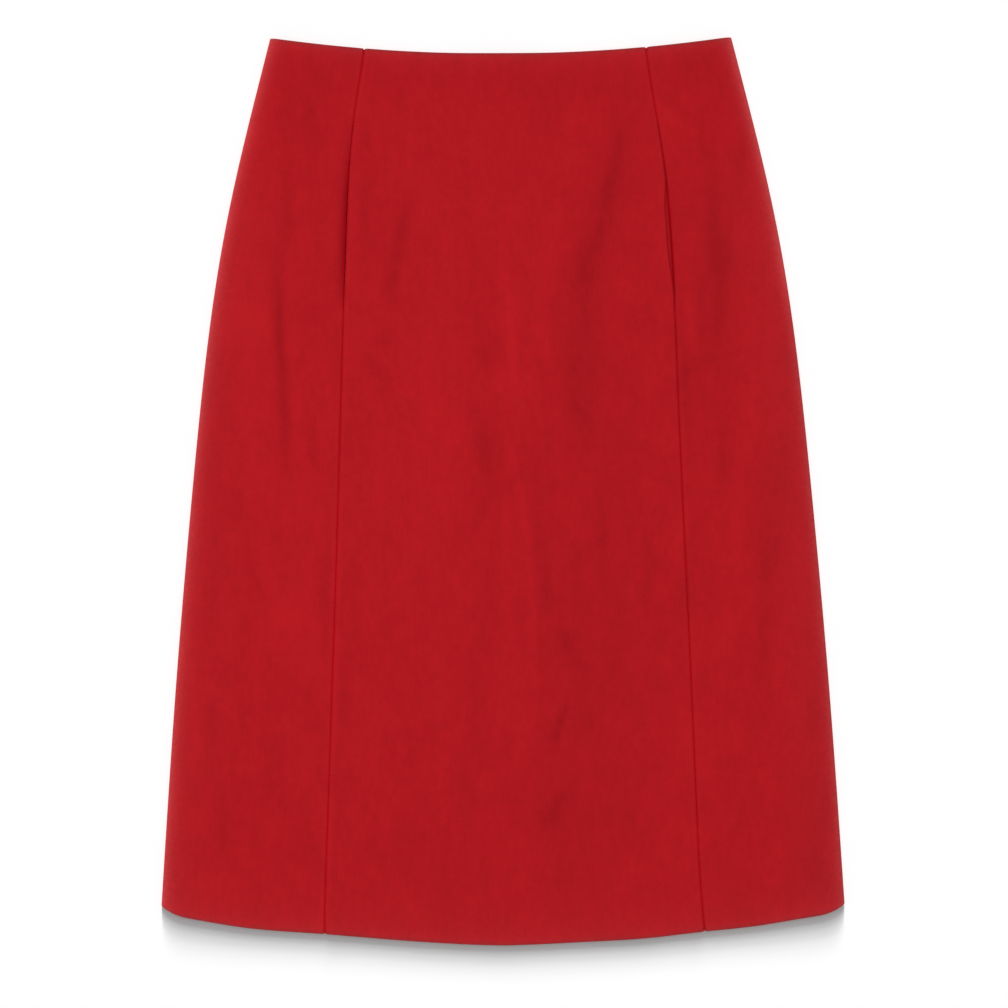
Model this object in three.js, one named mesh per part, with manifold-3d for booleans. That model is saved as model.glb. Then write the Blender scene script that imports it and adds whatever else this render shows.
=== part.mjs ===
// A-line skirt laid flat on its back: a napped cloth skirt with three front panels, two long front seams
// with a pocket in each, two back panels and a concealed zip at the centre back.
//
// Frame, in millimetres: +X to the wearer's left, +Y towards the waist, +Z up from the surface it lies on.
// The origin is on that surface, under the middle of the laid-out skirt. The back panels rest on the
// surface and the front panels lie on them.
//
// Places along the skirt are given two ways. "down" is the distance below the waist corners, along Y.
// "along" runs from 0 on the waist edge to 1 on the hem, and follows both of their curves. "across" runs
// from -1 to 1 between the side folds. In the names of pieces, left is at -X.

import * as THREE from 'three';

// ---- Driving dimensions ----------------------------------------------------------------------------

const OVERALL_LENGTH = 705.2;
const WAIST_DIP = 12.4;            // the waist edge is lower in the middle than at its corners
const HEM_RISE = 25.6;             // the hem is higher at the sides than in the middle
const HEM_RISE_POWER = 1.5;
const HEM_CORNER = { from: 0.92, rise: 5.6 };   // the hem turns up a little more beside the side folds
const HEM_SAGS = [                 // where it hangs a little lower than that even curve
  { across: -0.74, spread: 0.17, deep: 2.4 },
  { across: 0.42, spread: 0.16, deep: 1.6 },
  { across: 0.72, spread: 0.14, deep: 1.6 },
];
const BACK_INSET = 0.8;            // the back panels stop this much short of the front's edges

const CLOTH = 1.0;                 // one layer of the skirt's cloth
const BAG_CLOTH = 1.0;             // one layer of pocket bag
const TAPE = 1.0;                  // zip tape
const CLEAR = 0.3;                 // between pieces
const SEAM_HALF = CLEAR / 2;

const HEM_DEPTH = 30;              // the hem is turned up once, to the inside
const WAIST_TURN = 7;              // the waist edge is turned in once
const TURN_EDGE = 1.2;             // the step where a turned layer ends
const TURN_FADE = { waist: 13, hem: 10 };       // how far past it the front comes down again

const FOLD_RADIUS = 2.85;          // outside radius of the soft fold down each side
const FOLD_REACH = 38;             // how far in from the side the front stays raised by that fold
const FOLD_STEPS = 4;

// Half the width of the laid-out skirt.
const SIDE_LINE = [
  { down: 0, half: 179.0 },
  { down: 50, half: 191.8 },
  { down: 100, half: 204.1 },
  { down: 150, half: 214.7 },
  { down: 200, half: 223.3 },
  { down: 250, half: 229.9 },
  { down: 300, half: 235.5 },
  { down: 400, half: 245.0 },
  { down: 500, half: 253.5 },
  { down: 600, half: 260.6 },
  { down: 680, half: 265.8 },
];

// The two front seams, as half the centre panel's width and how far the panel lies off centre.
const FRONT_SEAMS = [
  { down: 0, half: 107.6, shift: 3.4 },
  { down: 60, half: 117.3, shift: 3.5 },
  { down: 125, half: 124.6, shift: 5.0 },
  { down: 200, half: 128.3, shift: 6.0 },
  { down: 260, half: 129.8, shift: 6.1 },
  { down: 320, half: 132.8, shift: 6.4 },
  { down: 400, half: 135.0, shift: 6.9 },
  { down: 470, half: 138.4, shift: 7.2 },
  { down: 540, half: 140.8, shift: 7.4 },
  { down: 610, half: 143.5, shift: 7.5 },
  { down: 705, half: 147.8, shift: 8.3 },
];

// The pocket openings in the front seams, and the bags behind them.
const POCKET = { from: 64, to: 212, blend: 14 };   // both "down"
const BAG = { top: 50, bottom: 300, seamClear: 0.3, margin: 4, drapeAbove: 36, drapeBelow: 60 };
const BAG_OUTLINE = [
  { share: 0.0, reach: 62 },
  { share: 0.12, reach: 84 },
  { share: 0.35, reach: 98 },
  { share: 0.6, reach: 102 },
  { share: 0.8, reach: 94 },
  { share: 0.93, reach: 76 },
  { share: 1.0, reach: 44 },
];

// The zip at the centre back. "below" is the distance below the waist edge at the centre.
const ZIP_TOP = WAIST_TURN + TURN_EDGE + BACK_INSET + CLEAR;       // just under the back's turned edge
const ZIP = { length: 192, tapeWidth: 12, tapeMiddle: 8, notchEdge: 0.1, sliderClear: 0.5, bendClear: 0.15 };
const SLIDER = { top: 10.1, length: 10, width: 7, thick: 1.4, shoulder: 2, taper: 0.8 };
const BRIDGE = { inset: 1.1, post: 0.8, width: 1.0, bar: 0.6, floor: 0.1, overlap: 0.2 };
const PULL = { eye: 0.45, halfWidth: 2.6, armWidth: 0.9, tabHalf: 0.4, length: 24, tipHalf: 3.1 };
const PULL_WINDOW = { from: 0.3, to: 5.6, below: 2 };              // the arms go on below it to the tab
const PULL_TIP = { flare: 5, round: 3 };
const TENT = { reach: 4.5, fade: 12, length: 32, fadeDown: 16 };   // the back panels bridge the pull
const ZIP_SLIT = { half: 0.9, margin: 1.0, fade: 1.5 };            // they part round the slider's posts
const ZIP_MOUND = { margin: 2, across: 35, along: 60 };            // the front passes softly over it all
const TAPE_RAISE = { beside: 2, acrossFade: 30, beyond: 4, alongFade: 40 };   // and over the tapes

// The largest soft folds of the front, as ridges along straight lines that fade at both ends.
const FRONT_FOLDS = [
  { fromX: 2, fromDown: 160, toX: 14, toDown: 290, width: 14, height: 0.8 },
  { fromX: 8, fromDown: 340, toX: 27, toDown: 520, width: 20, height: 1.0 },
  { fromX: 112, fromDown: 390, toX: 118, toDown: 610, width: 22, height: 0.9 },
  { fromX: 192, fromDown: 270, toX: 172, toDown: 540, width: 15, height: 0.9 },
  { fromX: -188, fromDown: 190, toX: -194, toDown: 370, width: 13, height: 0.9 },
  { fromX: -64, fromDown: 240, toX: -76, toDown: 470, width: 28, height: 1.0 },
];
const FOLD_ENDS = { before: 0.25, within: 0.3 };   // shares of a fold's length, at each end

// Where each panel gets a row of points, as distance below the waist edge at the centre.
const HEM_ROWS = [13, HEM_DEPTH, HEM_DEPTH + TURN_EDGE, HEM_DEPTH + TURN_FADE.hem];   // above the hem edge
const FRONT_ROWS = [0, 3, WAIST_TURN, WAIST_TURN + TURN_EDGE, 20, 38, 52, 66, 90, 120, 150, 180, 200, 214,
  235, 265, 300, 340, 385, 430, 480, 530, 580, 620, 642];
const TENT_ROWS = [32, 42, 46, 50, 54, 58];      // where the back and the tapes come down off the pull
const BACK_ROWS = [0, 3, WAIST_TURN, WAIST_TURN + TURN_EDGE, 10, 20.5, 22, ...TENT_ROWS, 100, 150, 205,
  270, 340, 420, 500, 580, 635];

const CENTRE_COLUMNS = 12;
const SIDE_SHARES = [0, 0.14, 0.3, 0.46, 0.62, 0.75, 0.86, 0.94, 1];
const BACK_SHARES = [0, 0.018, 0.036, 0.056, 0.085, 0.16, 0.34, 0.56, 0.78, 0.92, 1];
const BAG_COLUMNS = 6;
const BAG_ROWS = 10;

// ---- Materials -------------------------------------------------------------------------------------

const cloth = () => new THREE.MeshStandardMaterial({ color: 0xad1a21, roughness: 0.95, metalness: 0 });
const bagCloth = () => new THREE.MeshStandardMaterial({ color: 0x8f1c22, roughness: 0.9, metalness: 0 });
const tapeCloth = () => new THREE.MeshStandardMaterial({ color: 0x8a181e, roughness: 0.85, metalness: 0 });
const zipMetal = () => new THREE.MeshStandardMaterial({ color: 0x9b2a2e, roughness: 0.4, metalness: 0.6 });

// ---- Curves and fields -----------------------------------------------------------------------------

const TOP = OVERALL_LENGTH / 2;
const WAIST_CENTRE = TOP - WAIST_DIP;
const CENTRE_LENGTH = WAIST_CENTRE + TOP;

function smooth(from, to, value) {
  return THREE.MathUtils.smoothstep(value, from, to);
}

// A smooth curve through one column of a table, against another.
function curve(table, at, column) {
  const places = table.map((row) => row[at]);
  const values = table.map((row) => row[column]);
  const interpolant = new THREE.CubicInterpolant(places, values, 1);
  const last = places.length - 1;
  return (place) => interpolant.evaluate(THREE.MathUtils.clamp(place, places[0], places[last]))[0];
}

const sideHalf = curve(SIDE_LINE, 'down', 'half');
const seamHalf = curve(FRONT_SEAMS, 'down', 'half');
const seamShift = curve(FRONT_SEAMS, 'down', 'shift');
const bagReach = curve(BAG_OUTLINE, 'share', 'reach');

function seamX(side, down) {
  return seamShift(down) + side * seamHalf(down);
}

// The waist edge and the hem across the skirt, with the side folds at across = -1 and 1.
function waistY(across) {
  return TOP - WAIST_DIP * (1 - across * across);
}

function hemY(across) {
  const side = Math.min(Math.abs(across), 1);
  const corner = Math.max(0, (side - HEM_CORNER.from) / (1 - HEM_CORNER.from));
  const sag = HEM_SAGS.reduce((sum, low) => (
    sum + low.deep * Math.exp(-(((across - low.across) / low.spread) ** 2))), 0);
  return -TOP + HEM_RISE * side ** HEM_RISE_POWER + HEM_CORNER.rise * corner * corner - sag;
}

// The point of a cross line where x follows a curve of its own, given as x for each "down".
function place(along, xAt, inset = 0) {
  let down = WAIST_DIP + along * CENTRE_LENGTH;
  let x = 0;
  let y = 0;
  for (let pass = 0; pass < 8; pass += 1) {
    x = xAt(down);
    const across = x / sideHalf(down);
    y = (1 - along) * (waistY(across) - inset) + along * (hemY(across) + inset);
    down = TOP - y;
  }
  return { x, y, down, along };
}

// How far a layer is doubled by the turned waist edge and the turned-up hem.
function turned(point) {
  const below = point.along * CENTRE_LENGTH;
  const above = CENTRE_LENGTH - below;
  const waist = 1 - smooth(WAIST_TURN, WAIST_TURN + TURN_EDGE, below);
  const hem = 1 - smooth(HEM_DEPTH, HEM_DEPTH + TURN_EDGE, above);
  return Math.max(waist, hem);
}

function wall(point) {
  return CLOTH * (1 + turned(point));
}

// Clear height under the back panels, where they bridge the slider's bridge and the pull.
const PULL_AXIS_Z = BRIDGE.floor + BRIDGE.bar + CLEAR + PULL.eye;
const TENT_HEIGHT = PULL_AXIS_Z + PULL.eye + CLEAR;

function tent(x, y) {
  const below = WAIST_CENTRE - y;
  const sideways = 1 - smooth(TENT.reach, TENT.reach + TENT.fade, Math.abs(x));
  const downwards = 1 - smooth(TENT.length + SLIDER.top, TENT.length + SLIDER.top + TENT.fadeDown, below);
  return TENT_HEIGHT * sideways * downwards;
}

function ridge(fold, x, down) {
  const line = new THREE.Vector2(fold.toX - fold.fromX, fold.toDown - fold.fromDown);
  const offset = new THREE.Vector2(x - fold.fromX, down - fold.fromDown);
  const share = offset.dot(line) / line.lengthSq();
  const aside = Math.abs(offset.cross(line)) / line.length() / fold.width;
  const starts = smooth(-FOLD_ENDS.before, FOLD_ENDS.within, share);
  const ends = starts * smooth(-FOLD_ENDS.before, FOLD_ENDS.within, 1 - share);
  return fold.height * ends * Math.exp(-aside * aside);
}

// The height that the pocket bags give the front. In the openings the side panels' edges stay low.
function pocketLift(x, down, onCentre) {
  const layers = 2 * (BAG_CLOTH + CLEAR);
  const lengthwise = smooth(BAG.top - BAG.drapeAbove, BAG.top - BAG.margin, down)
    * (1 - smooth(BAG.bottom + BAG.margin, BAG.bottom + BAG.drapeBelow, down));
  if (onCentre) return layers * lengthwise;
  const side = Math.sign(x - seamShift(down));
  const aside = Math.abs(x - seamX(side, down));
  const open = smooth(POCKET.from - POCKET.blend, POCKET.from, down)
    * (1 - smooth(POCKET.to, POCKET.to + POCKET.blend, down));
  return layers * lengthwise * (1 - open) * (1 - smooth(0, FOLD_REACH, aside));
}

const SLIDER_Z = TENT_HEIGHT + CLOTH + CLEAR;
const FLAT_FRONT = CLOTH + CLEAR + CLOTH;
const MOUND_HEIGHT = SLIDER_Z + SLIDER.thick + 2 * CLEAR + CLOTH - FLAT_FRONT;

// The outer face of the front panels.
function frontTop(point, onCentre) {
  const { x, y, down } = point;
  const below = point.along * CENTRE_LENGTH;
  const above = CENTRE_LENGTH - below;
  const hem = 2 * CLOTH * (1 - smooth(HEM_DEPTH + TURN_EDGE, HEM_DEPTH + TURN_FADE.hem, above));
  const waist = 2 * CLOTH * (1 - smooth(WAIST_TURN + TURN_EDGE, WAIST_TURN + TURN_FADE.waist, below));
  const besideTape = Math.abs(x) - ZIP.tapeWidth;
  const belowTape = below - ZIP.length;
  const tapes = (TAPE + CLEAR + ZIP.bendClear)
    * (1 - smooth(TAPE_RAISE.beside, TAPE_RAISE.acrossFade, besideTape))
    * (1 - smooth(TAPE_RAISE.beyond, TAPE_RAISE.alongFade, belowTape));
  const mound = MOUND_HEIGHT
    * (1 - smooth(SLIDER.width / 2 + ZIP_MOUND.margin, ZIP_MOUND.across, Math.abs(x)))
    * (1 - smooth(TENT.length + SLIDER.top, TENT.length + ZIP_MOUND.along, below));
  const pockets = pocketLift(x, down, onCentre);
  const inward = sideHalf(down) - FOLD_RADIUS - Math.abs(x);
  const side = (2 * FOLD_RADIUS - FLAT_FRONT) * (1 - smooth(0, FOLD_REACH, inward));
  const folds = FRONT_FOLDS.reduce((sum, fold) => sum + ridge(fold, x, down), 0);
  const turns = Math.max(waist, hem);
  const highest = Math.max(side, mound, tapes, pockets, turns + Math.min(mound, TENT_HEIGHT));
  return FLAT_FRONT + highest + folds * (1 - turned(point));
}

// ---- Closed bodies ---------------------------------------------------------------------------------

// A wall between two grids of points: outer[row][column] and inner[row][column].
function wallBetween(outer, inner, outerFacesUp) {
  const rows = outer.length;
  const columns = outer[0].length;
  const positions = [...outer.flat(), ...inner.flat()].flat();
  const at = (layer, row, column) => layer * rows * columns + row * columns + column;
  const index = [];
  const quad = (a, b, c, d) => index.push(a, b, c, a, c, d);
  for (let row = 0; row < rows - 1; row += 1) {
    for (let column = 0; column < columns - 1; column += 1) {
      quad(at(0, row, column), at(0, row + 1, column), at(0, row + 1, column + 1), at(0, row, column + 1));
      quad(at(1, row, column), at(1, row, column + 1), at(1, row + 1, column + 1), at(1, row + 1, column));
    }
    const last = columns - 1;
    quad(at(0, row, 0), at(1, row, 0), at(1, row + 1, 0), at(0, row + 1, 0));
    quad(at(0, row, last), at(0, row + 1, last), at(1, row + 1, last), at(1, row, last));
  }
  for (let column = 0; column < columns - 1; column += 1) {
    const last = rows - 1;
    quad(at(0, 0, column), at(0, 0, column + 1), at(1, 0, column + 1), at(1, 0, column));
    quad(at(0, last, column), at(1, last, column), at(1, last, column + 1), at(0, last, column + 1));
  }
  if (!outerFacesUp) {
    for (let corner = 0; corner < index.length; corner += 3) {
      [index[corner + 1], index[corner + 2]] = [index[corner + 2], index[corner + 1]];
    }
  }
  const geometry = new THREE.BufferGeometry();
  geometry.setAttribute('position', new THREE.Float32BufferAttribute(positions, 3));
  geometry.setIndex(index);
  geometry.computeVertexNormals();
  return geometry;
}

function mesh(name, geometry, material) {
  const piece = new THREE.Mesh(geometry, material);
  piece.name = name;
  return piece;
}

function rowsAlong(list) {
  const hem = HEM_ROWS.map((above) => CENTRE_LENGTH - above);
  const all = [...list, ...hem, CENTRE_LENGTH].sort((a, b) => a - b);
  return all.map((below) => below / CENTRE_LENGTH);
}

// Points of the side fold's quarter round, from its top or its underside to the side seam. The first
// angle is left out, because the panel's flat run ends there.
function foldArc(radius, upper) {
  const end = Math.asin(SEAM_HALF / radius);
  const away = upper ? radius : -radius;
  const points = [];
  for (let step = 1; step <= FOLD_STEPS; step += 1) {
    const angle = THREE.MathUtils.lerp(Math.PI / 2, end, step / FOLD_STEPS);
    points.push({ out: radius * Math.cos(angle), z: FOLD_RADIUS + away * Math.sin(angle) });
  }
  return points;
}

// ---- Panels ----------------------------------------------------------------------------------------

function frontCentre() {
  const outer = [];
  const inner = [];
  for (const along of rowsAlong(FRONT_ROWS)) {
    const top = [];
    const under = [];
    for (let column = 0; column <= CENTRE_COLUMNS; column += 1) {
      const share = column / CENTRE_COLUMNS;
      const point = place(along, (down) => THREE.MathUtils.lerp(
        seamX(-1, down) + SEAM_HALF, seamX(1, down) - SEAM_HALF, share));
      const z = frontTop(point, true);
      top.push([point.x, point.y, z]);
      under.push([point.x, point.y, z - wall(point)]);
    }
    outer.push(top);
    inner.push(under);
  }
  return mesh('front_centre', wallBetween(outer, inner, true), cloth());
}

function frontSide(name, side) {
  const outer = [];
  const inner = [];
  for (const along of rowsAlong(FRONT_ROWS)) {
    const top = [];
    const under = [];
    for (const share of SIDE_SHARES) {
      const point = place(along, (down) => THREE.MathUtils.lerp(
        seamX(side, down) + side * SEAM_HALF, side * (sideHalf(down) - FOLD_RADIUS), share));
      const z = share === 1 ? 2 * FOLD_RADIUS : frontTop(point, false);
      top.push([point.x, point.y, z]);
      under.push([point.x, point.y, z - wall(point)]);
    }
    const edge = place(along, (down) => side * sideHalf(down));
    for (const [points, radius] of [[top, FOLD_RADIUS], [under, FOLD_RADIUS - wall(edge)]]) {
      for (const step of foldArc(radius, true)) {
        points.push([edge.x + side * (step.out - FOLD_RADIUS), edge.y, step.z]);
      }
    }
    outer.push(top);
    inner.push(under);
  }
  return mesh(name, wallBetween(outer, inner, side > 0), cloth());
}

// Half the width of the centre back slit: a plain seam, opened round the slider's posts.
function slitHalf(below) {
  const top = SLIDER.top - ZIP_SLIT.margin;
  const bottom = SLIDER.top + SLIDER.length + ZIP_SLIT.margin;
  const open = smooth(top - ZIP_SLIT.fade, top, below) * (1 - smooth(bottom, bottom + ZIP_SLIT.fade, below));
  return THREE.MathUtils.lerp(SEAM_HALF, ZIP_SLIT.half, open);
}

function backPanel(name, side) {
  const under = [];
  const inner = [];
  for (const along of rowsAlong(BACK_ROWS)) {
    const face = [];
    const inside = [];
    for (const share of BACK_SHARES) {
      const slit = slitHalf(along * CENTRE_LENGTH);
      const point = place(along, (down) => side * THREE.MathUtils.lerp(
        slit, sideHalf(down) - FOLD_RADIUS, share), BACK_INSET);
      const z = tent(point.x, point.y);
      face.push([point.x, point.y, z]);
      inside.push([point.x, point.y, z + wall(point)]);
    }
    const edge = place(along, (down) => side * sideHalf(down), BACK_INSET);
    for (const [points, radius] of [[face, FOLD_RADIUS], [inside, FOLD_RADIUS - wall(edge)]]) {
      for (const step of foldArc(radius, false)) {
        points.push([edge.x + side * (step.out - FOLD_RADIUS), edge.y, step.z]);
      }
    }
    under.push(face);
    inner.push(inside);
  }
  return mesh(name, wallBetween(under, inner, side < 0), cloth());
}

// ---- Pocket bags -----------------------------------------------------------------------------------

// Layer 0 lies on the back panel, and layer 1 on layer 0. Both start at the front seam.
function pocketBag(name, side, layer) {
  const base = CLOTH + CLEAR + layer * (BAG_CLOTH + CLEAR);
  const upper = [];
  const lower = [];
  for (let row = 0; row <= BAG_ROWS; row += 1) {
    const share = row / BAG_ROWS;
    const down = THREE.MathUtils.lerp(BAG.top, BAG.bottom, share);
    const top = [];
    const bottom = [];
    for (let column = 0; column <= BAG_COLUMNS; column += 1) {
      const reach = BAG.seamClear + bagReach(share) * (column / BAG_COLUMNS);
      const x = seamX(side, down) - side * reach;
      const y = TOP - down;
      top.push([x, y, base + BAG_CLOTH]);
      bottom.push([x, y, base]);
    }
    upper.push(top);
    lower.push(bottom);
  }
  return mesh(name, wallBetween(upper, lower, side < 0), bagCloth());
}

// ---- Zip -------------------------------------------------------------------------------------------

// The tapes lie on the inner face of the back panels and follow their rise over the pull.
function zipTape(name, side) {
  const notch = SLIDER.width / 2 + ZIP.sliderClear;
  const end = SLIDER.top + SLIDER.length + ZIP.sliderClear;
  const rows = [ZIP_TOP, end, end + ZIP.notchEdge, ...TENT_ROWS, 100, 150, ZIP_TOP + ZIP.length];
  const upper = [];
  const lower = [];
  for (const below of rows) {
    const innerEdge = below <= end ? notch : SEAM_HALF;
    const top = [];
    const bottom = [];
    for (const across of [innerEdge, TENT.reach, ZIP.tapeMiddle, ZIP.tapeWidth]) {
      const x = side * across;
      const y = WAIST_CENTRE - below;
      const z = tent(x, y) + CLOTH + CLEAR + ZIP.bendClear;
      top.push([x, y, z + TAPE]);
      bottom.push([x, y, z]);
    }
    upper.push(top);
    lower.push(bottom);
  }
  return mesh(name, wallBetween(upper, lower, side > 0), tapeCloth());
}

// A flat shape in X and Y, made solid from one height to another.
function slab(shape, from, to) {
  const depth = to - from;
  const geometry = new THREE.ExtrudeGeometry(shape, { depth, bevelEnabled: false, curveSegments: 6 });
  geometry.translate(0, 0, from);
  return geometry;
}

// The slider is a plate inside the skirt, with a bridge of two posts and a bar under the back panels.
function zipSlider(solids) {
  const top = WAIST_CENTRE - SLIDER.top;
  const bottom = top - SLIDER.length;
  const plate = new THREE.Shape();
  const half = SLIDER.width / 2;
  plate.moveTo(-half, top - SLIDER.shoulder);
  plate.quadraticCurveTo(-half, top, 0, top);
  plate.quadraticCurveTo(half, top, half, top - SLIDER.shoulder);
  plate.lineTo(half * SLIDER.taper, bottom);
  plate.lineTo(-half * SLIDER.taper, bottom);
  plate.closePath();
  const body = slab(plate, SLIDER_Z, SLIDER_Z + SLIDER.thick);
  const hoopTop = top - BRIDGE.inset;
  const hoopBottom = bottom + BRIDGE.inset;
  const hoopRoof = SLIDER_Z + BRIDGE.overlap;
  const hoopSide = (y) => {
    const post = new THREE.BoxGeometry(BRIDGE.width, BRIDGE.post, hoopRoof - BRIDGE.floor);
    post.translate(0, y, (hoopRoof + BRIDGE.floor) / 2);
    return post;
  };
  const bar = new THREE.BoxGeometry(BRIDGE.width, hoopTop - hoopBottom, BRIDGE.bar);
  bar.translate(0, (hoopTop + hoopBottom) / 2, BRIDGE.floor + BRIDGE.bar / 2);
  const parts = [body, hoopSide(hoopTop - BRIDGE.post / 2), hoopSide(hoopBottom + BRIDGE.post / 2), bar];
  return mesh('zip_slider', solids.join(parts), zipMetal());
}

// The pull: a round eye bar inside the bridge, two arms beside it and a flat tab.
const PULL_AXIS_Y = WAIST_CENTRE - SLIDER.top - SLIDER.length / 2;

function zipPull(solids) {
  const eye = new THREE.CylinderGeometry(PULL.eye, PULL.eye, 2 * PULL.halfWidth, 12);
  eye.rotateZ(Math.PI / 2);
  eye.translate(0, PULL_AXIS_Y, PULL_AXIS_Z);
  const tip = PULL_AXIS_Y - PULL.length;
  const flare = tip + PULL_TIP.flare;
  const round = tip + PULL_TIP.round;
  const neck = PULL_AXIS_Y - PULL_WINDOW.to - PULL_WINDOW.below;
  const outline = new THREE.Shape();
  outline.moveTo(-PULL.halfWidth, PULL_AXIS_Y);
  outline.lineTo(PULL.halfWidth, PULL_AXIS_Y);
  outline.lineTo(PULL.halfWidth, neck);
  outline.quadraticCurveTo(PULL.tipHalf, flare, PULL.tipHalf, round);
  outline.quadraticCurveTo(PULL.tipHalf, tip, 0, tip);
  outline.quadraticCurveTo(-PULL.tipHalf, tip, -PULL.tipHalf, round);
  outline.quadraticCurveTo(-PULL.tipHalf, flare, -PULL.halfWidth, neck);
  outline.closePath();
  const inner = PULL.halfWidth - PULL.armWidth;
  const window = new THREE.Path();
  window.moveTo(-inner, PULL_AXIS_Y - PULL_WINDOW.from);
  window.lineTo(-inner, PULL_AXIS_Y - PULL_WINDOW.to);
  window.lineTo(inner, PULL_AXIS_Y - PULL_WINDOW.to);
  window.lineTo(inner, PULL_AXIS_Y - PULL_WINDOW.from);
  window.closePath();
  outline.holes.push(window);
  const tab = slab(outline, PULL_AXIS_Z - PULL.tabHalf, PULL_AXIS_Z + PULL.tabHalf);
  return mesh('zip_pull', solids.join([eye, tab]), zipMetal());
}

// ---- Joining solids --------------------------------------------------------------------------------

const MERGE_WITHIN = 1e-4;   // points closer than this are one

async function solidTools() {
  const { default: Module } = await import('manifold-3d');
  const { mergeVertices } = await import('three/addons/utils/BufferGeometryUtils.js');
  const wasm = await Module();
  wasm.setup();
  const toSolid = (geometry) => {
    const bare = geometry.clone();
    bare.deleteAttribute('normal');
    bare.deleteAttribute('uv');
    const merged = mergeVertices(bare, MERGE_WITHIN);
    return new wasm.Manifold(new wasm.Mesh({
      numProp: 3,
      vertProperties: new Float32Array(merged.attributes.position.array),
      triVerts: new Uint32Array(merged.index.array),
    }));
  };
  const toGeometry = (solid) => {
    const result = solid.getMesh();
    const geometry = new THREE.BufferGeometry();
    geometry.setAttribute('position', new THREE.Float32BufferAttribute(result.vertProperties, 3));
    geometry.setIndex([...result.triVerts]);
    geometry.computeVertexNormals();
    return geometry;
  };
  return {
    join: (geometries) => toGeometry(geometries.map(toSolid).reduce((sum, solid) => sum.add(solid))),
  };
}

// ---- The skirt -------------------------------------------------------------------------------------

const solids = await solidTools();
const group = new THREE.Group();
group.add(frontCentre());
for (const [word, side] of [['left', -1], ['right', 1]]) {
  group.add(frontSide(`front_side_${word}`, side));
  group.add(backPanel(`back_${word}`, side));
  group.add(pocketBag(`pocket_${word}_under`, side, 0));
  group.add(pocketBag(`pocket_${word}_over`, side, 1));
  group.add(zipTape(`zip_tape_${word}`, side));
}
group.add(zipSlider(solids));
group.add(zipPull(solids));

export default group;
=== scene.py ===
"""Looks of the a-line skirt, laid flat: panels of napped cloth, pocket bags and a concealed zip.

Lengths are millimetres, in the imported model's frame: +X to the right seen from above, +Y towards the waist,
+Z up. They become metres where a mesh is made. "down" is the distance below the waist corners, and "along"
runs from 0 on the waist edge to 1 on the hem. side is -1 for the left and 1 for the right.
"""
import math

import bmesh
import bpy
import numpy as np
from mathutils import Matrix, Vector


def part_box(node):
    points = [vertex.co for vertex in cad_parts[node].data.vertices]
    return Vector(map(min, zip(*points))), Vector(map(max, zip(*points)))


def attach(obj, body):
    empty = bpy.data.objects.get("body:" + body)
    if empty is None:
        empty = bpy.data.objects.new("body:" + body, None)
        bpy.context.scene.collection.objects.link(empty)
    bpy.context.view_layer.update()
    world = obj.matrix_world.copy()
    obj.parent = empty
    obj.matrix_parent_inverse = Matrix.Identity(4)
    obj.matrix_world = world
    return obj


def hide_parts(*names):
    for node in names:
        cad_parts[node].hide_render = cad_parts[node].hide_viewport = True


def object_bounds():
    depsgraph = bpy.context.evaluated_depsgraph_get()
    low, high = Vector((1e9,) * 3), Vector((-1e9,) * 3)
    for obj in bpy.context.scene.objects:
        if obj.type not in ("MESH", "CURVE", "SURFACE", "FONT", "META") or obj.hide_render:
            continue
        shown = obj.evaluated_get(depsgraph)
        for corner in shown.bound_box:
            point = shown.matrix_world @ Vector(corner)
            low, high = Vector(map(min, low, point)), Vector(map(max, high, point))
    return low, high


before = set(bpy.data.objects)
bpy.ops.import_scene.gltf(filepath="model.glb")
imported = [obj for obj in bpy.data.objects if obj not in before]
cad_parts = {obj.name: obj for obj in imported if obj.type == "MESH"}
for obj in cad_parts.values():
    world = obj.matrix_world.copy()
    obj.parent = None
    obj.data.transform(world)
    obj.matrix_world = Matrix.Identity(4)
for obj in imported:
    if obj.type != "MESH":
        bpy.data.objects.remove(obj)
CAD_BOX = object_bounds()
MM = 0.001

# ---- Sizes ----

LOW = [value / MM for value in CAD_BOX[0]]
HIGH = [value / MM for value in CAD_BOX[1]]
TOP = HIGH[1]
WAIST_DIP = 12.4
HEM_RISE = 25.6
HEM_RISE_POWER = 1.5
HEM_CORNER_FROM = 0.92
HEM_CORNER_RISE = 5.6
# Where the hem hangs lower than its even curve: place across, half width, and how much.
HEM_SAGS = [(-0.74, 0.17, 2.4), (0.42, 0.16, 1.6), (0.72, 0.14, 1.6)]
LENGTH = TOP - WAIST_DIP - LOW[1]  # waist edge to hem at the centre

CLOTH = 0.8
TURN = 0.85  # what a turned-in second layer adds
EDGE_ROUND = (CLOTH + TURN) / 2  # how far a turned edge rounds out past its last row
HEM_DEPTH = 30.0
TURN_STEP = 1.2  # the length over which a turned-in layer ends
SEAM_HALF = 0.15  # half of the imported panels' gap at a seam
SEAM_GAP = 0.02  # from a seam's middle to each panel's edge here
TUCK_LEAST = 0.05  # how far a side panel's first columns run on where nothing is tucked under
SEAM_ROLL = 0.35  # the panels roll down into their seams with this radius
POCKET_ROLL = 1.0  # and at the pocket openings with this one
POCKET_TUCK = 2.5  # the right side panel runs on this far under the pocket's edge

FRONT_LEVEL = 3.3  # outer face of the front where nothing lifts it
SIDE_SEAM_LEVEL = 1.4  # the side seam, at the outside of the soft fold down each side
FOLD_REACH = 95.0  # how far in the front comes down from that fold
BACK_INSET = 0.8  # the back panels stop this much short of the front's edges
WAIST_TURN = 8.6 - EDGE_ROUND - BACK_INSET  # how far down the waist's turned-in layer reaches
BAG_LIFT = 1.7  # how far the pocket bags lift the front
SHADE_AND_TONE_DEPTH = 1.12  # scales all creases' painted shade and highlight, and how much the patches darken or lighten

# The side fold in section, from the side seam inwards: length along the cloth, and its slope there.
FOLD_SLOPES = [(0.0, 90.0), (1.3, 48.0), (3.2, 16.0), (6.5, 6.0), (13.0, 0.0)]

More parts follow.
